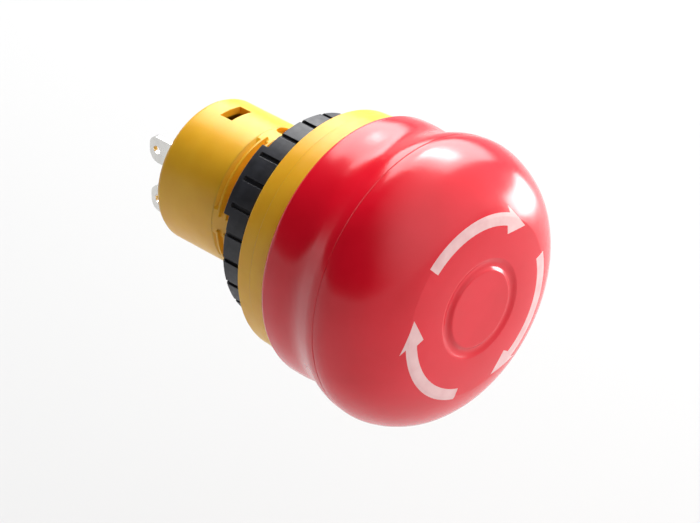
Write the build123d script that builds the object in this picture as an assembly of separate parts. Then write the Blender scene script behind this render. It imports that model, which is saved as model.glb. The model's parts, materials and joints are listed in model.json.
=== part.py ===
from build123d import *
import os
from math import cos, sin, radians

# Panel-mounted emergency stop button, push to lock and turn to release.
# Everything is drawn in an axial frame whose Z is the button's own axis: Z = 0 is the
# rear face of the bezel, which sits on the panel, and +Z points at the operator.
# place() then turns each piece into the row's frame: the axis lies along Y, the operator
# is on the -Y side, and +Z is up. Angles are measured from +X towards the row's +Z.

# ---- driving dimensions, mm ----
THREAD_R = 8.0
THREAD_ROOT_R = 7.25
THREAD_PITCH = 1.0
BARREL_R = 7.7
SHANK_FRONT_R = 7.75
MUSHROOM_R = 15.0
PUSH_TRAVEL = 4.0
TURN_RANGE = 35.0

# bezel and threaded shank
BEZEL_REAR_R = 12.8
BEZEL_FRONT_R = 13.05
BEZEL_FRONT = 4.6
BEZEL_LINE = 2.0
BEZEL_POCKET_R = 12.0
BEZEL_FLOOR = 1.6
COLLAR_R = 6.9
COLLAR_TOP = 7.2
SHANK_END = -8.8
SHANK_BORE_R = 6.2
GUIDE_BORE_R = 5.0
GUIDE_FLOOR = 0.6
SPIGOT_R = 6.75
SPIGOT_LENGTH = 1.2
THREADS = 8
LAST_CREST = -7.75
GASKET_IN_R = 8.7
GASKET_OUT_R = 10.7
GASKET_DEPTH = 1.0

# keyway along the shank, with the plain strip beside it
KEY_ANGLE = 78.0
KEY_WIDTH = 1.7
KEY_DEPTH = 0.55
PLAIN_STRIPS = ((59.0, 37.0), (168.0, 12.0), (212.0, 37.0), (-12.0, 12.0))
RUN_OUT = 12.0

# contact barrel behind the shank
FLANGE_R = 5.7
FLANGE_REAR = -9.2
BARREL_END = -16.9
BARREL_BORE_R = 6.9
BASE_R = 7.2
BASE_FRONT = -16.0
BASE_REAR = -16.7
WINDOW_ANGLE = 86.0
WINDOW_WIDTH = 2.8
WINDOW_LENGTH = 1.65
WINDOW_MIDDLE = -13.6
LEAF_SPAN = 44.0

# lock nut and keyed washer
WASHER_FRONT = -0.55
WASHER_THICKNESS = 0.6
WASHER_R = 10.4
NUT_FRONT = -1.2
NUT_REAR = -3.9
NUT_R = 11.0
NUT_BORE_R = 8.08
NUT_GROOVES = 24
NUT_GROOVE_WIDTH = 0.5
NUT_GROOVE_DEPTH = 0.3
NUT_LUGS = 3
NUT_LUG_HEIGHT = 0.75
NUT_LUG_START = 115.0
NUT_LUG_SPAN = 41.0

# mushroom head and skirt
SKIRT_RIM = 4.15
SKIRT_BORE_R = 13.2
SKIRT_BORE_TOP = 8.8
SKIRT_SEAT_R = 12.9
SEAM = 12.5
SEAM_R = 14.86
FACE_Z = 19.9
FACE_R = 9.4
APEX_Z = 20.4
RING_IN_R = 3.9
RING_OUT_R = 5.3
RING_DEPTH = 0.12
BOSS_R = 3.3
BOSS_REAR = 12.5
BOSS_ROOF = 17.2
ARROW_DEPTH = 0.12

# moving stack on the axis
SPINDLE_R = 2.15
SPINDLE_TIP_R = 1.3
PLUNGER_NECK_R = 3.8
PLUNGER_CAGE_R = 4.95
SLEEVE_R = 6.15
SLEEVE_BORE_R = 5.0
LEDGE_BORE_R = 3.9
LEDGE_REAR = -0.2
CAGE_FRONT = -0.3
CAGE_REAR = -5.0
CAGE_ROOM_R = 4.0
CAGE_ROOM_FRONT = -0.9
CAGE_ROOM_REAR = -4.3
PIN_MIDDLE = -2.4
PIN_HEIGHT = 1.2
PIN_WIDTH = 1.6
PIN_INNER = 2.3
PIN_STROKE = 0.8
PEG_AT = 2.9
PEG_R = 0.35
CAM_FRONT = -1.0
CAM_REAR = -1.7
CAM_R = 3.7
SPRING_CAP_REAR = 8.4
SPRING_CAP_FRONT = 9.6
NECK_TOP = 9.2
CLIP_FRONT = -3.3
CLIP_REAR = -3.7

# contact block: two poles, one each side
POLE_X = 3.0
TIP_Z = 2.9
TIP_R = 0.7
LAND_FRONT = -9.5
LAND_REAR = -9.8
TIP_HEIGHT = 0.2
CONTACT_GAP = 0.02
BRIDGE_THICKNESS = 0.3
BRIDGE_HALF_WIDTH = 0.8
BRIDGE_HALF_LENGTH = 3.7
SPRING_SEAT = -11.6
CARRIER_END = -11.9
BRIDGE_FRONT = LAND_REAR - 2 * TIP_HEIGHT - CONTACT_GAP
TAB_X = 4.4
TAB_THICKNESS = 0.5
TAB_WIDTH = 3.0
TAB_END = -20.9
TAB_HOLE = -19.9
TAB_HOLE_R = 0.45
STRIP_WIDTH = 1.9

# small things used throughout
FIT = 0.05
FINE_EDGE = 0.2

os.makedirs("parts", exist_ok=True)
pieces = {}


def place(shape):
    """The row's frame: axial +Z becomes -Y, axial Y becomes +Z."""
    return Rot(90, 0, 0) * shape


def keep(name, shape):
    pieces[name] = place(shape)


def turn(points):
    """A solid of revolution about the axis, from corner points (radius, height)."""
    outline = Plane.XZ * make_face(Polyline(*points, close=True))
    return revolve(outline, Axis.Z)


def tube(outer, inner, low, high):
    ring = Circle(outer) - Circle(inner)
    return extrude(Pos(0, 0, low) * ring, high - low)


def polar(radius, degrees):
    return (radius * cos(radians(degrees)), radius * sin(radians(degrees)))


def rod(radius, low, high, x=0.0, y=0.0):
    return extrude(Pos(x, y, low) * Circle(radius), high - low)


def block(x0, x1, y0, y1, low, high):
    middle = Pos((x0 + x1) / 2, (y0 + y1) / 2, (low + high) / 2)
    return middle * Box(x1 - x0, y1 - y0, high - low)


def sector(radius, start, span, low, high):
    """A wedge of a disc, for cutting or keeping part of a ring."""
    steps = max(2, round(span / 15))
    angles = [radians(start + span * i / steps) for i in range(steps + 1)]
    reach = radius / cos(radians(span / steps / 2))
    rim = [(reach * cos(a), reach * sin(a)) for a in angles]
    return extrude(Pos(0, 0, low) * make_face(Polyline((0, 0), *rim, close=True)), high - low)


def coil(radius, wire, low, high, turns):
    """A coil spring whose wire's centre line runs from low to high."""
    pitch = (high - low) / turns
    path = Pos(0, 0, low) * Helix(pitch, high - low, radius)
    section = Plane(origin=path @ 0, z_dir=path % 0) * Circle(wire / 2)
    return sweep(section, path=path, is_frenet=True)


# ---- fixed housing ----
def front_housing():
    step = 0.1
    body = turn([
        (GUIDE_BORE_R, GUIDE_FLOOR), (SHANK_BORE_R, GUIDE_FLOOR),
        (SHANK_BORE_R, SHANK_END + SPIGOT_LENGTH), (SPIGOT_R, SHANK_END + SPIGOT_LENGTH),
        (SPIGOT_R, SHANK_END), (BARREL_R, SHANK_END), (SHANK_FRONT_R, 0),
        (BEZEL_REAR_R - FINE_EDGE, 0), (BEZEL_REAR_R, FINE_EDGE),
        (BEZEL_REAR_R + 0.06, BEZEL_LINE - step), (BEZEL_REAR_R + 0.06 + step, BEZEL_LINE),
        (BEZEL_FRONT_R, BEZEL_FRONT - FINE_EDGE), (BEZEL_FRONT_R - FINE_EDGE, BEZEL_FRONT),
        (BEZEL_POCKET_R, BEZEL_FRONT), (BEZEL_POCKET_R, BEZEL_FLOOR),
        (COLLAR_R, BEZEL_FLOOR), (COLLAR_R, COLLAR_TOP), (GUIDE_BORE_R, COLLAR_TOP),
    ])
    body -= tube(GASKET_OUT_R, GASKET_IN_R, 0, GASKET_DEPTH)
    body -= thread_gaps()
    ridges = thread_ridges()
    for start, span in PLAIN_STRIPS:
        ridges -= sector(THREAD_R + 1, start, span, SHANK_END - 1, 0)
        body += plain_strip(start, span)
    body += ridges
    slot_end = SHANK_END + 0.25 + KEY_WIDTH / 2
    floor = BARREL_R - KEY_DEPTH
    slot = block(floor, THREAD_R + 1, -KEY_WIDTH / 2, KEY_WIDTH / 2, slot_end, 0)
    round_end = Pos(floor, 0, slot_end) * Rot(0, 90, 0)
    slot += round_end * Cylinder(KEY_WIDTH / 2, 2, align=(Align.CENTER, Align.CENTER, Align.MIN))
    return body - Rot(0, 0, KEY_ANGLE) * slot


def thread_gaps():
    """The band between the plain shank and the thread's root, sloped at its rear end."""
    slope = 0.9
    reach = BARREL_R + 1
    return turn([
        (THREAD_ROOT_R, -0.2), (reach, -0.2), (reach, SHANK_END + FIT - slope),
        (THREAD_ROOT_R, SHANK_END + FIT + slope * (BARREL_R - THREAD_ROOT_R)),
    ])


def plain_strip(start, span):
    """Stretch left plain between two lengths of thread; the gaps run out into it."""
    low = THREAD_ROOT_R - 0.1
    steps = max(2, round(span / 12))
    rim = [polar(BARREL_R + 0.3, start + span * i / steps) for i in range(steps + 1)]
    outline = [(0, 0), polar(low, start - RUN_OUT), *rim, polar(low, start + span + RUN_OUT)]
    prism = extrude(Pos(0, 0, SHANK_END + 0.1) * make_face(Polyline(*outline, close=True)), -SHANK_END - 0.1)
    core = turn([(low - 0.1, SHANK_END), (BARREL_R, SHANK_END), (SHANK_FRONT_R, 0), (low - 0.1, 0)])
    return prism & core


def thread_ridges():
    """One V ridge per pitch, standing on the root cylinder."""
    half = 0.36
    crest = 0.12
    buried = THREAD_ROOT_R - 0.2
    outline = [(buried, LAST_CREST - half)]
    for i in range(THREADS):
        middle = LAST_CREST + i * THREAD_PITCH
        outline += [(THREAD_ROOT_R, middle - half), (THREAD_R, middle - crest),
                    (THREAD_R, middle + crest), (THREAD_ROOT_R, middle + half)]
    outline.append((buried, LAST_CREST + (THREADS - 1) * THREAD_PITCH + half))
    return turn(outline)


def rear_housing():
    """Barrel for the contacts; its spigot joins the shank and its flange holds the sleeve."""
    rim = 0.5
    body = turn([
        (SHANK_BORE_R, SHANK_END + SPIGOT_LENGTH - FIT), (SPIGOT_R - FIT, SHANK_END + SPIGOT_LENGTH - FIT),
        (SPIGOT_R - FIT, SHANK_END), (BARREL_R, SHANK_END), (BARREL_R, BARREL_END + rim),
        (BARREL_R - 0.15, BARREL_END + 0.15), (BARREL_R - rim, BARREL_END), (BASE_R - 0.2, BARREL_END),
        (BASE_R - 0.2, BASE_REAR), (BASE_R, BASE_REAR), (BASE_R, BASE_FRONT), (BARREL_BORE_R, BASE_FRONT),
        (BARREL_BORE_R, FLANGE_REAR), (FLANGE_R, FLANGE_REAR), (FLANGE_R, SHANK_END - FIT),
        (SHANK_BORE_R, SHANK_END - FIT),
    ])
    window = block(BARREL_BORE_R - 1, BARREL_R + 1, -WINDOW_WIDTH / 2, WINDOW_WIDTH / 2,
                   WINDOW_MIDDLE - WINDOW_LENGTH / 2, WINDOW_MIDDLE + WINDOW_LENGTH / 2)
    return body - Rot(0, 0, WINDOW_ANGLE) * window


def panel_gasket():
    return tube(GASKET_OUT_R, GASKET_IN_R, 0, GASKET_DEPTH)


def latch_sleeve():
    """Lines the shank: a stop ledge in front and a groove that the lock pins drop into."""
    pushed = PIN_MIDDLE - PUSH_TRAVEL
    half = PIN_HEIGHT / 2 + 0.15
    depth = PIN_STROKE + 0.05
    return turn([
        (LEDGE_BORE_R, GUIDE_FLOOR), (SLEEVE_R, GUIDE_FLOOR), (SLEEVE_R, SHANK_END),
        (SLEEVE_BORE_R, SHANK_END), (SLEEVE_BORE_R, pushed - half), (SLEEVE_BORE_R + depth, pushed - half),
        (SLEEVE_BORE_R + depth, pushed + half), (SLEEVE_BORE_R, pushed + half),
        (SLEEVE_BORE_R, LEDGE_REAR), (LEDGE_BORE_R, LEDGE_REAR),
    ])


def terminal(side, end):
    """Solder tab, strip through the base and the land that carries a fixed contact."""
    outer = TAB_X + TAB_THICKNESS / 2
    inner = TAB_X - TAB_THICKNESS / 2
    middle = TIP_Z
    tab = block(inner, outer, middle - TAB_WIDTH / 2, middle + TAB_WIDTH / 2, TAB_END, BASE_REAR - 0.3)
    tips = tab.edges().filter_by(Axis.X).group_by(Axis.Z)[0]
    tab = fillet(tips, TAB_WIDTH / 2 - 0.35)
    hole = Pos(0, middle, TAB_HOLE) * Rot(0, 90, 0) * Cylinder(TAB_HOLE_R, 20)
    strip_low = middle - STRIP_WIDTH / 2
    strip_high = middle + STRIP_WIDTH / 2
    strip = block(inner, outer, strip_low, strip_high, BASE_REAR - 0.5, LAND_FRONT)
    land = block(POLE_X - 0.8, outer, strip_low, strip_high, LAND_REAR, LAND_FRONT)
    shape = (tab - hole) + strip + land
    return mirrored(shape, side, end)


def mirrored(shape, side, end):
    """The piece drawn at +X, +Y, moved to the wanted corner."""
    if side < 0:
        shape = mirror(shape, Plane.YZ)
    if end < 0:
        shape = mirror(shape, Plane.XZ)
    return shape


def terminal_base():
    disc = rod(BASE_R, BASE_REAR, BASE_FRONT)
    disc = chamfer(disc.edges().group_by(Axis.Z)[-1], 0.15)
    for side in (1, -1):
        for end in (1, -1):
            slot = block(TAB_X - TAB_THICKNESS / 2, TAB_X + TAB_THICKNESS / 2,
                         TIP_Z - STRIP_WIDTH / 2, TIP_Z + STRIP_WIDTH / 2, BASE_REAR, BASE_FRONT)
            disc -= mirrored(slot, side, end)
    return disc


def contact_tips(low, high):
    """Four silver tips, two on each pole."""
    return Compound([rod(TIP_R, low, high, side * POLE_X, end * TIP_Z)
                     for side in (1, -1) for end in (1, -1)])


def window_leaf():
    """A curved steel leaf that lines part of the barrel's bore under the window."""
    rear = WINDOW_MIDDLE + 0.1
    leaf = tube(BARREL_BORE_R, BARREL_BORE_R - 0.3, rear, rear + 1.3)
    return leaf & sector(BARREL_R, WINDOW_ANGLE, LEAF_SPAN, rear, rear + 1.3)


# ---- nut and washer ----
def lock_nut():
    body = turn([
        (NUT_BORE_R, NUT_FRONT), (NUT_R - FINE_EDGE, NUT_FRONT), (NUT_R, NUT_FRONT - FINE_EDGE),
        (NUT_R, NUT_REAR + FINE_EDGE), (NUT_R - FINE_EDGE, NUT_REAR), (NUT_BORE_R, NUT_REAR),
    ])
    lug_top = NUT_REAR - NUT_LUG_HEIGHT
    lug_ring = turn([
        (NUT_R - 2.0, NUT_REAR + 0.5), (NUT_R, NUT_REAR + 0.5), (NUT_R, lug_top + FINE_EDGE),
        (NUT_R - FINE_EDGE, lug_top), (NUT_R - 2.0, lug_top),
    ])
    for i in range(NUT_LUGS):
        start = NUT_LUG_START + i * 360 / NUT_LUGS
        body += lug_ring & sector(NUT_R + 1, start, NUT_LUG_SPAN, lug_top, NUT_REAR + 0.5)
    groove = block(NUT_R - NUT_GROOVE_DEPTH, NUT_R + 1, -NUT_GROOVE_WIDTH / 2, NUT_GROOVE_WIDTH / 2,
                   NUT_REAR, NUT_FRONT + 1)
    for i in range(NUT_GROOVES):
        body -= Rot(0, 0, i * 360 / NUT_GROOVES) * groove
    return body


def locking_washer():
    rear = WASHER_FRONT - WASHER_THICKNESS
    ring = tube(WASHER_R, THREAD_R + 0.1, rear, WASHER_FRONT)
    key_room = KEY_WIDTH / 2 - FIT
    key = block(BARREL_R - KEY_DEPTH + 0.12, THREAD_R + 0.6, -key_room, key_room, rear, WASHER_FRONT)
    return ring + Rot(0, 0, KEY_ANGLE) * key


# ---- mushroom ----
def head_outline():
    """The head's outer line, from the seam over the shoulder to the face."""
    lip = Line((SEAM_R, SEAM), (MUSHROOM_R - 0.07, SEAM + 0.07))
    shoulder = Spline((MUSHROOM_R - 0.07, SEAM + 0.07), (MUSHROOM_R, 13.2), (14.64, 15.1), (13.67, 17.0),
                      (12.55, 18.2), (11.1, 19.2), (FACE_R, FACE_Z))
    return lip + shoulder


def mushroom_cap():
    spigot_low = SEAM - 2.0
    shoulder = head_outline()
    wall_r = SKIRT_SEAT_R - 1.2
    face = ThreePointArc((FACE_R, FACE_Z), (7.5, FACE_Z + 0.27), (RING_OUT_R, APEX_Z - 0.09))
    floor = APEX_Z - 0.09 - RING_DEPTH
    ring = Spline((RING_OUT_R, APEX_Z - 0.09), (RING_OUT_R - 0.35, floor), (RING_IN_R + 0.35, floor + 0.02),
                  (RING_IN_R, APEX_Z), tangents=((-1, -0.05), (-1, 0)))
    centre = Line((RING_IN_R, APEX_Z), (0, APEX_Z))
    inside = Polyline(
        (0, APEX_Z), (0, BOSS_ROOF), (SPINDLE_R, BOSS_ROOF), (SPINDLE_R, BOSS_REAR), (BOSS_R, BOSS_REAR),
        (BOSS_R, 18.2), (9.0, 18.2), (wall_r, 16.4), (wall_r, spigot_low), (SKIRT_SEAT_R, spigot_low),
        (SKIRT_SEAT_R, SEAM), (SEAM_R, SEAM))
    outline = shoulder + face + ring + centre + inside
    return revolve(Plane.XZ * make_face(outline), Axis.Z)


def arrow_outline():
    """One turning arrow, flat: a band round the axis with a head at its clockwise end."""
    tail = 132.0
    neck = 62.0
    tip = 43.7
    in_r = 8.5
    out_r = 9.75
    outer = ThreePointArc(polar(out_r, tail), polar(out_r, (tail + neck) / 2), polar(out_r, neck))
    head = Polyline(polar(out_r, neck), polar(10.4, neck + 2.5), polar(9.15, tip),
                    polar(7.7, neck - 2.5), polar(in_r, neck))
    inner = ThreePointArc(polar(in_r, neck), polar(in_r, (tail + neck) / 2), polar(in_r, tail))
    back = Line(polar(in_r, tail), polar(out_r, tail))
    return make_face(outer + head + inner + back)


def direction_arrows(cap):
    """Three inlays, a third of a turn apart, flush with the face."""
    skin = cap - Pos(0, 0, -ARROW_DEPTH) * cap
    flat = Pos(0, 0, FACE_Z - 4) * arrow_outline()
    prism = extrude(flat, 6)
    front = skin & tube(MUSHROOM_R, 6.0, FACE_Z - 3, APEX_Z + 1)
    return Compound([front & Rot(0, 0, i * 120) * prism for i in range(3)])


def mushroom_skirt():
    rim_outer = SKIRT_BORE_R + 0.12
    rounding = ThreePointArc((rim_outer, SKIRT_RIM), (13.68, SKIRT_RIM + 0.25), (13.84, SKIRT_RIM + 0.8))
    flare = Spline((13.84, SKIRT_RIM + 0.8), (13.86, 6.2), (13.74, 8.4), (14.2, 10.1), (14.78, 11.6),
                   (SEAM_R + 0.06, SEAM - 0.07), tangents=((0.08, 1), (0.1, 1)))
    rest = Polyline((SEAM_R + 0.06, SEAM - 0.07), (SEAM_R, SEAM), (SKIRT_SEAT_R, SEAM),
                    (SKIRT_SEAT_R, SKIRT_BORE_TOP + 0.7), (SKIRT_BORE_R - 0.9, SKIRT_BORE_TOP + 0.7),
                    (SKIRT_BORE_R - 0.9, SKIRT_BORE_TOP), (SKIRT_BORE_R, SKIRT_BORE_TOP),
                    (SKIRT_BORE_R, SKIRT_RIM), (rim_outer, SKIRT_RIM))
    return revolve(Plane.XZ * make_face(rounding + flare + rest), Axis.Z)


# ---- turning spindle and its cam ----
def spindle():
    """Stem of the head: thrust collar in front, flatted tip behind for the cam plate."""
    thrust = SPRING_CAP_FRONT + FIT
    body = turn([
        (0, BOSS_ROOF), (SPINDLE_R - 0.2, BOSS_ROOF), (SPINDLE_R, BOSS_ROOF - 0.2),
        (SPINDLE_R, thrust + 0.3), (3.6, thrust + 0.3), (3.6, thrust), (SPINDLE_R, thrust),
        (SPINDLE_R, CAM_FRONT), (SPINDLE_TIP_R, CAM_FRONT), (SPINDLE_TIP_R, CLIP_REAR - 0.3),
        (0, CLIP_REAR - 0.3),
    ])
    neck = tube(SPINDLE_TIP_R + 0.1, SPINDLE_TIP_R - 0.3, CLIP_REAR, CLIP_FRONT)
    flat = block(SPINDLE_TIP_R - 0.25, 2 * SPINDLE_R, -SPINDLE_R, SPINDLE_R, CAM_REAR, CAM_FRONT)
    return body - neck - flat


def peg_track():
    """Where a lock pin's peg runs in the cam plate as the plate turns clockwise."""
    steps = 14
    room = PEG_R + 0.06
    track = rod(room, CAM_REAR, CAM_FRONT, PEG_AT)
    for i in range(1, steps + 1):
        angle = radians(TURN_RANGE * i / steps)
        radius = PEG_AT - PIN_STROKE * i / steps
        track += rod(room, CAM_REAR, CAM_FRONT, radius * cos(angle), radius * sin(angle))
    return track


def cam_plate():
    plate = rod(CAM_R, CAM_REAR, CAM_FRONT - FIT)
    bore = rod(SPINDLE_TIP_R, CAM_REAR, CAM_FRONT)
    bore -= block(SPINDLE_TIP_R - 0.25, 2 * SPINDLE_R, -SPINDLE_R, SPINDLE_R, CAM_REAR, CAM_FRONT)
    plate -= bore
    track = peg_track()
    return plate - track - Rot(0, 0, 180) * track


def cam_clip():
    """Open clip in the spindle's neck, which keeps the cam plate on."""
    ring = tube(2.1, SPINDLE_TIP_R - 0.28, CLIP_REAR + 0.02, CLIP_FRONT - 0.02)
    return ring - block(0, 3, -0.7, 0.7, CLIP_REAR, CLIP_FRONT)


def lock_pin():
    """Square pin that drops into the sleeve's groove, with a peg for the cam plate."""
    bar = block(PIN_INNER, SLEEVE_BORE_R - FIT, -PIN_WIDTH / 2, PIN_WIDTH / 2,
                PIN_MIDDLE - PIN_HEIGHT / 2, PIN_MIDDLE + PIN_HEIGHT / 2)
    bar &= rod(SLEEVE_BORE_R - FIT, CAGE_REAR, CAGE_FRONT)
    return bar + rod(PEG_R, PIN_MIDDLE, CAM_FRONT - 0.1, PEG_AT)


# ---- plunger ----
def plunger():
    """Neck through the stop ledge and a cage round the cam, with two windows for the pins."""
    body = turn([
        (SPINDLE_R + FIT, NECK_TOP), (3.0, NECK_TOP), (3.0, SPRING_CAP_REAR), (PLUNGER_NECK_R, SPRING_CAP_REAR),
        (PLUNGER_NECK_R, CAGE_FRONT), (PLUNGER_CAGE_R - 0.2, CAGE_FRONT), (PLUNGER_CAGE_R, CAGE_FRONT - 0.2),
        (PLUNGER_CAGE_R, CAGE_REAR), (CAGE_ROOM_R, CAGE_REAR), (CAGE_ROOM_R, CAGE_ROOM_FRONT),
        (SPINDLE_R + FIT, CAGE_ROOM_FRONT),
    ])
    half = PIN_WIDTH / 2 + FIT
    window = block(-SLEEVE_R, SLEEVE_R, -half, half, PIN_MIDDLE - PIN_HEIGHT / 2 - FIT,
                   PIN_MIDDLE + PIN_HEIGHT / 2 + FIT)
    return body - window


def spring_cap():
    """Flanged collar on the plunger's neck, which the return spring pushes on."""
    body = tube(PLUNGER_CAGE_R - 0.05, SPINDLE_R + FIT, SPRING_CAP_REAR, SPRING_CAP_FRONT)
    body = chamfer(body.edges().filter_by(GeomType.CIRCLE).group_by(SortBy.RADIUS)[-1], 0.15)
    return body - tube(3.0, SPINDLE_R, SPRING_CAP_REAR, NECK_TOP)


def contact_carrier():
    """Disc in the cage's mouth, a blade between the poles, and arms each side of a bridge."""
    disc = rod(CAGE_ROOM_R - 0.02, CAGE_REAR, CAGE_ROOM_REAR)
    blade = block(-1.7, 1.7, -4.4, 4.4, CARRIER_END, CAGE_REAR)
    arms = block(-3.9, 3.9, -1.4, 1.4, BRIDGE_FRONT + FIT, CAGE_REAR - 0.1)
    seats = block(-3.9, 3.9, -1.4, 1.4, CARRIER_END, SPRING_SEAT)
    return disc + blade + arms + seats


def bridge(side):
    """Moving contact bar of one pole, dimpled in the middle for its spring."""
    bar = block(POLE_X - BRIDGE_HALF_WIDTH, POLE_X + BRIDGE_HALF_WIDTH, -BRIDGE_HALF_LENGTH,
                BRIDGE_HALF_LENGTH, BRIDGE_FRONT - BRIDGE_THICKNESS, BRIDGE_FRONT)
    bar = fillet(bar.edges().filter_by(Axis.Z), 0.5)
    nub = rod(0.4, BRIDGE_FRONT - BRIDGE_THICKNESS - 0.35, BRIDGE_FRONT - BRIDGE_THICKNESS, POLE_X)
    return mirrored(bar + nub, side, 1)


def contact_spring(side):
    wire = 0.22
    top = BRIDGE_FRONT - BRIDGE_THICKNESS - wire / 2
    spring = coil(0.65, wire, SPRING_SEAT + wire / 2, top, 2.5)
    return Pos(side * POLE_X, 0, 0) * spring


def return_spring():
    wire = 0.6
    return coil(4.4, wire, GUIDE_FLOOR + wire / 2 + 0.02, SPRING_CAP_REAR - wire / 2 - 0.02, 5.5)


def torsion_spring():
    wire = 0.45
    low = SPRING_CAP_FRONT + FIT + 0.3 + wire / 2
    return coil(2.9, wire, low, BOSS_REAR - wire / 2, 4)


keep("front_housing", front_housing())
keep("rear_housing", rear_housing())
keep("panel_gasket", panel_gasket())
keep("latch_sleeve", latch_sleeve())
keep("terminal_base", terminal_base())
for index, (side, end) in enumerate([(-1, 1), (-1, -1), (1, 1), (1, -1)], start=1):
    keep(f"terminal_{index}", terminal(side, end))
keep("fixed_contact_tips", contact_tips(LAND_REAR - TIP_HEIGHT, LAND_REAR))
keep("window_leaf", window_leaf())
keep("lock_nut", lock_nut())
keep("locking_washer", locking_washer())
cap = mushroom_cap()
arrows = direction_arrows(cap)
keep("mushroom_cap", cap - arrows)
keep("direction_arrows", arrows)
keep("mushroom_skirt", mushroom_skirt())
keep("spindle", spindle())
keep("cam_plate", cam_plate())
keep("cam_clip", cam_clip())
keep("lock_pin_a", lock_pin())
keep("lock_pin_b", Rot(0, 0, 180) * lock_pin())
keep("plunger", plunger())
keep("spring_cap", spring_cap())
keep("contact_carrier", contact_carrier())
for index, side in enumerate((-1, 1), start=1):
    keep(f"contact_bridge_{index}", bridge(side))
    keep(f"contact_spring_{index}", contact_spring(side))
keep("bridge_tips", contact_tips(BRIDGE_FRONT, BRIDGE_FRONT + TIP_HEIGHT))
keep("return_spring", return_spring())
keep("torsion_spring", torsion_spring())

for name, shape in pieces.items():
    export_step(shape, f"parts/{name}.step")
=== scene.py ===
import json
import math

import bpy
from mathutils import Matrix, Vector

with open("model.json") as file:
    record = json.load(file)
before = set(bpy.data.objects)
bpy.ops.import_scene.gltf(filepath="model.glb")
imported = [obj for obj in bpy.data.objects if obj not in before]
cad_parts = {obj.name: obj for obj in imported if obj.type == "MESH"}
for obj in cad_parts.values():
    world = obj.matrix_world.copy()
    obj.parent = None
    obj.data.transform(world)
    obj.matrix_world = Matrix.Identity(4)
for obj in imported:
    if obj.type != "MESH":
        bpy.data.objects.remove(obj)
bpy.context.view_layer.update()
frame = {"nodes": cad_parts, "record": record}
nodes = frame["nodes"]
scene = bpy.context.scene

# ---- the stage, metres ----
FLOOR_Z = -0.060
FLOOR_HALF = 2.5
CAMERA_AT = Vector((-0.2144, -0.2125, 0.1901))
CAMERA_RIGHT = Vector((0.69905, -0.71508, 0.0))
CAMERA_UP = Vector((0.38637, 0.37771, 0.84146))
CAMERA_LENS = 185.1
SENSOR_WIDTH = 36.0
FLOOR_GLOW = 0.34

# ---- the tent: strength against the direction it is seen in ----
TENT_SIDE = (0.45, -0.65, 0.61)
TENT_FADE = (0.18, 0.95)
TENT_STRENGTH = (0.02, 1.22)
SKIRTING_FADE = (0.03, 0.13)
SKIRTING_STRENGTH = (0.75, 0.0)


# ---- material helpers ----
class Look:
    """One node material, built from the object's own coordinates in metres."""

    def __init__(self, name, base, rough, metal=0.0):
        self.material = bpy.data.materials.new(name)
        self.material.use_nodes = True
        self.tree = self.material.node_tree
        self.links = self.tree.links
        self.shader = self.tree.nodes["Principled BSDF"]
        self.set("Base Color", (*base, 1.0))
        self.set("Roughness", rough)
        self.set("Metallic", metal)
        self.coords = self.node("ShaderNodeTexCoord").outputs["Object"]

    def node(self, kind, **values):
        made = self.tree.nodes.new(kind)
        for key, value in values.items():
            setattr(made, key, value)
        return made

    def set(self, socket, value):
        self.shader.inputs[socket].default_value = value

    def noise(self, scale, detail=3.0, rough=0.55, stretch=(1.0, 1.0, 1.0)):
        """Noise whose scale is in features per metre."""
        mapping = self.node("ShaderNodeMapping")
        mapping.inputs["Scale"].default_value = stretch
        self.links.new(self.coords, mapping.inputs["Vector"])
        noise = self.node("ShaderNodeTexNoise")
        noise.inputs["Scale"].default_value = scale
        noise.inputs["Detail"].default_value = detail
        noise.inputs["Roughness"].default_value = rough
        self.links.new(mapping.outputs["Vector"], noise.inputs["Vector"])
        return noise.outputs["Fac"]

    def ramp(self, value, low, high, start=0.3, end=0.7):
        """Maps a 0..1 value between start and end onto low..high."""
        made = self.node("ShaderNodeMapRange")
        made.inputs["From Min"].default_value = start
        made.inputs["From Max"].default_value = end
        made.inputs["To Min"].default_value = low
        made.inputs["To Max"].default_value = high
        self.links.new(value, made.inputs["Value"])
        return made.outputs["Result"]

    def tint(self, value, dark, light):
        """Base colour that drifts between two shades."""
        mix = self.node("ShaderNodeMix", data_type="RGBA")
        mix.inputs["A"].default_value = (*dark, 1.0)
        mix.inputs["B"].default_value = (*light, 1.0)
        self.links.new(value, mix.inputs["Factor"])
        self.links.new(mix.outputs["Result"], self.shader.inputs["Base Color"])

    def roughness(self, value):
        self.links.new(value, self.shader.inputs["Roughness"])

    def bump(self, value, height, edge=0.0):
        """Surface relief of the given height in metres, over edges rounded by the bevel."""
        bump = self.node("ShaderNodeBump")
        bump.inputs["Distance"].default_value = height
        bump.inputs["Strength"].default_value = 1.0
        self.links.new(value, bump.inputs["Height"])
        if edge:
            bevel = self.node("ShaderNodeBevel", samples=4)
            bevel.inputs["Radius"].default_value = edge
            self.links.new(bevel.outputs["Normal"], bump.inputs["Normal"])
        self.links.new(bump.outputs["Normal"], self.shader.inputs["Normal"])


def scaled(colour, factor):
    return tuple(c * factor for c in colour)


# ---- materials ----
def red_plastic():
    look = Look("red_plastic", (0.80, 0.004, 0.020), 0.24)
    cloud = look.noise(160.0)
    look.tint(look.ramp(cloud, 0.0, 1.0), (0.76, 0.003, 0.017), (0.84, 0.005, 0.023))
    look.roughness(look.ramp(look.noise(420.0, 4.0), 0.20, 0.27))
    look.bump(look.noise(2600.0, 2.0), 0.0000035)
    look.set("Coat Weight", 0.25)
    look.set("Coat Roughness", 0.16)
    look.set("IOR", 1.52)
    return look.material


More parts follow.
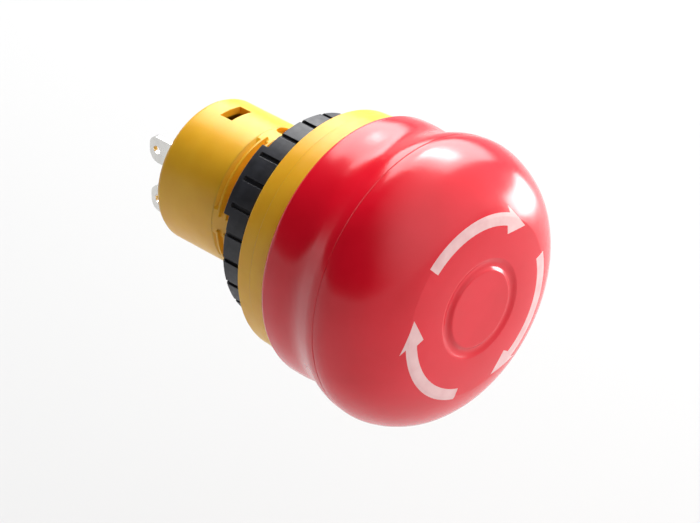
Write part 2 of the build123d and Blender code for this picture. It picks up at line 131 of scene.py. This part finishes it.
def yellow_plastic():
    look = Look("yellow_plastic", (0.88, 0.46, 0.018), 0.36)
    cloud = look.noise(190.0)
    look.tint(look.ramp(cloud, 0.0, 1.0), (0.85, 0.42, 0.014), (0.92, 0.50, 0.024))
    look.roughness(look.ramp(look.noise(900.0, 4.0), 0.30, 0.42))
    look.bump(look.noise(5200.0, 3.0), 0.000006, edge=0.00012)
    look.set("Subsurface Weight", 0.25)
    look.set("Subsurface Radius", (1.0, 0.55, 0.12))
    look.set("Subsurface Scale", 0.0008)
    return look.material


def black_nylon():
    look = Look("black_nylon", (0.022, 0.023, 0.030), 0.42)
    cloud = look.noise(700.0)
    look.tint(look.ramp(cloud, 0.0, 1.0), (0.016, 0.017, 0.022), (0.034, 0.036, 0.046))
    look.roughness(look.ramp(look.noise(1800.0, 4.0), 0.34, 0.52))
    look.bump(look.noise(9000.0, 3.0), 0.000010, edge=0.00010)
    return look.material


def rubber():
    look = Look("rubber", (0.02, 0.02, 0.02), 0.75)
    cloud = look.noise(900.0)
    look.tint(look.ramp(cloud, 0.0, 1.0), (0.015, 0.015, 0.015), (0.035, 0.035, 0.035))
    look.bump(look.noise(7000.0, 4.0), 0.000015)
    return look.material


def metal(name, base, rough, stretch=(1.0, 1.0, 1.0), relief=0.000004):
    look = Look(name, base, rough, metal=1.0)
    grain = look.noise(3000.0, 5.0, stretch=stretch)
    look.tint(look.ramp(look.noise(500.0), 0.0, 1.0), scaled(base, 0.86), base)
    look.roughness(look.ramp(grain, rough * 0.75, rough * 1.35))
    look.bump(grain, relief, edge=0.00006)
    return look.material


def bright_leaf():
    """Satin nickel plate, pale enough to show in the shade of the window."""
    look = Look("bright_leaf", (0.86, 0.86, 0.88), 0.45, metal=0.35)
    look.roughness(look.ramp(look.noise(2500.0, 4.0, stretch=(1.0, 0.2, 1.0)), 0.35, 0.55))
    look.bump(look.noise(4000.0), 0.000003)
    return look.material


def arrow_ink():
    look = Look("arrow_ink", (0.90, 0.56, 0.56), 0.35)
    look.tint(look.ramp(look.noise(800.0), 0.0, 1.0), (0.86, 0.50, 0.50), (0.94, 0.62, 0.61))
    look.roughness(look.ramp(look.noise(2500.0, 3.0), 0.30, 0.42))
    look.bump(look.noise(4000.0, 2.0), 0.000004)
    return look.material


def moulded(name, base, rough):
    look = Look(name, base, rough)
    look.tint(look.ramp(look.noise(400.0), 0.0, 1.0), scaled(base, 0.88), base)
    look.roughness(look.ramp(look.noise(1500.0, 4.0), rough - 0.06, rough + 0.08))
    look.bump(look.noise(6000.0, 3.0), 0.000008, edge=0.00008)
    return look.material


SLOT_LOOKS = {
    "red": red_plastic(),
    "yellow": yellow_plastic(),
    "nut_black": black_nylon(),
    "gasket": rubber(),
    "arrow_mark": arrow_ink(),
    "washer": metal("washer_zinc", (0.62, 0.62, 0.60), 0.32),
    "tinned": metal("tinned_tab", (0.86, 0.85, 0.82), 0.24, stretch=(1.0, 0.12, 1.0)),
    "silver": metal("silver_tip", (0.90, 0.89, 0.86), 0.28),
    "brass": metal("rolled_brass", (0.80, 0.58, 0.28), 0.30, stretch=(1.0, 1.0, 0.12)),
    "spring_steel": metal("spring_steel", (0.72, 0.72, 0.73), 0.22),
    "base": moulded("base_yellow", (0.78, 0.40, 0.018), 0.48),
    "inner_white": moulded("acetal_white", (0.80, 0.78, 0.72), 0.45),
    "inner_black": moulded("phenolic_black", (0.030, 0.029, 0.028), 0.45),
}

NODE_LOOKS = {"window_leaf": bright_leaf()}


def dress_cad_nodes():
    """Every CAD node takes the material of its slot in the record, or one of its own."""
    slot_of = {part["node"]: part["material_slot"] for part in frame["record"]["subparts"]}
    for name, piece in nodes.items():
        for place in piece.material_slots:
            place.material = NODE_LOOKS.get(name, SLOT_LOOKS[slot_of[name]])


# ---- camera, floor and light ----
def add_camera():
    data = bpy.data.cameras.new("camera")
    data.lens = CAMERA_LENS
    data.sensor_width = SENSOR_WIDTH
    data.clip_start = 0.01
    data.clip_end = 20.0
    camera = bpy.data.objects.new("camera", data)
    back = CAMERA_RIGHT.cross(CAMERA_UP)
    turn = Matrix((CAMERA_RIGHT, CAMERA_UP, back)).transposed()
    camera.matrix_world = Matrix.Translation(CAMERA_AT) @ turn.to_4x4()
    scene.collection.objects.link(camera)
    scene.camera = camera


def add_floor():
    mesh = bpy.data.meshes.new("floor")
    signs = [(-1, -1), (1, -1), (1, 1), (-1, 1)]
    corners = [(x * FLOOR_HALF, y * FLOOR_HALF, FLOOR_Z) for x, y in signs]
    mesh.from_pydata(corners, [], [(0, 1, 2, 3)])
    floor = bpy.data.objects.new("floor", mesh)
    look = Look("floor_white", (0.30, 0.30, 0.30), 0.9)
    look.tint(look.ramp(look.noise(2.0), 0.0, 1.0), (0.295, 0.295, 0.295), (0.305, 0.305, 0.305))
    look.set("Emission Color", (1.0, 1.0, 1.0, 1.0))
    look.set("Emission Strength", FLOOR_GLOW)
    mesh.materials.append(look.material)
    scene.collection.objects.link(floor)


def add_softbox(name, at, aim, size, power, spread=180.0):
    data = bpy.data.lights.new(name, "AREA")
    data.spread = math.radians(spread)
    data.shape = "RECTANGLE"
    data.size = size[0]
    data.size_y = size[1]
    data.energy = power
    light = bpy.data.objects.new(name, data)
    light.location = at
    light.rotation_euler = (Vector(aim) - Vector(at)).to_track_quat("-Z", "Y").to_euler()
    scene.collection.objects.link(light)


def smooth_fade(tree, value, span, strengths):
    """Maps a value across the span onto the two strengths, with soft ends."""
    fade = tree.nodes.new("ShaderNodeMapRange")
    fade.interpolation_type = "SMOOTHSTEP"
    fade.inputs["From Min"].default_value = span[0]
    fade.inputs["From Max"].default_value = span[1]
    fade.inputs["To Min"].default_value = strengths[0]
    fade.inputs["To Max"].default_value = strengths[1]
    tree.links.new(value, fade.inputs["Value"])
    return fade.outputs["Result"]


def add_world():
    """A soft tent: bright in front and to the right, dark up behind, pale all round low down."""
    world = bpy.data.worlds.new("studio")
    world.use_nodes = True
    tree = world.node_tree
    background = tree.nodes["Background"]
    direction = tree.nodes.new("ShaderNodeTexCoord").outputs["Generated"]

    facing = tree.nodes.new("ShaderNodeVectorMath")
    facing.operation = "DOT_PRODUCT"
    facing.inputs[1].default_value = TENT_SIDE
    tree.links.new(direction, facing.inputs[0])
    height = tree.nodes.new("ShaderNodeSeparateXYZ")
    tree.links.new(direction, height.inputs[0])

    tent = smooth_fade(tree, facing.outputs["Value"], TENT_FADE, TENT_STRENGTH)
    skirting = smooth_fade(tree, height.outputs["Z"], SKIRTING_FADE, SKIRTING_STRENGTH)
    brighter = tree.nodes.new("ShaderNodeMath")
    brighter.operation = "MAXIMUM"
    tree.links.new(tent, brighter.inputs[0])
    tree.links.new(skirting, brighter.inputs[1])
    tree.links.new(brighter.outputs["Value"], background.inputs["Strength"])
    background.inputs["Color"].default_value = (1.0, 1.0, 1.0, 1.0)
    scene.world = world


add_camera()
add_floor()
add_world()
add_softbox("key_box", (0.27, 0.156, 0.281), (0, 0, 0), (0.50, 0.40), 3.0)
add_softbox("key_core", (0.243, 0.090, 0.282), (0, 0, 0), (0.20, 0.09), 0.8)
add_softbox("low_card", (0.205, -0.070, -0.022), (0, 0, 0), (0.12, 0.06), 0.06, spread=80.0)
dress_cad_nodes()

scene.view_settings.view_transform = "Standard"
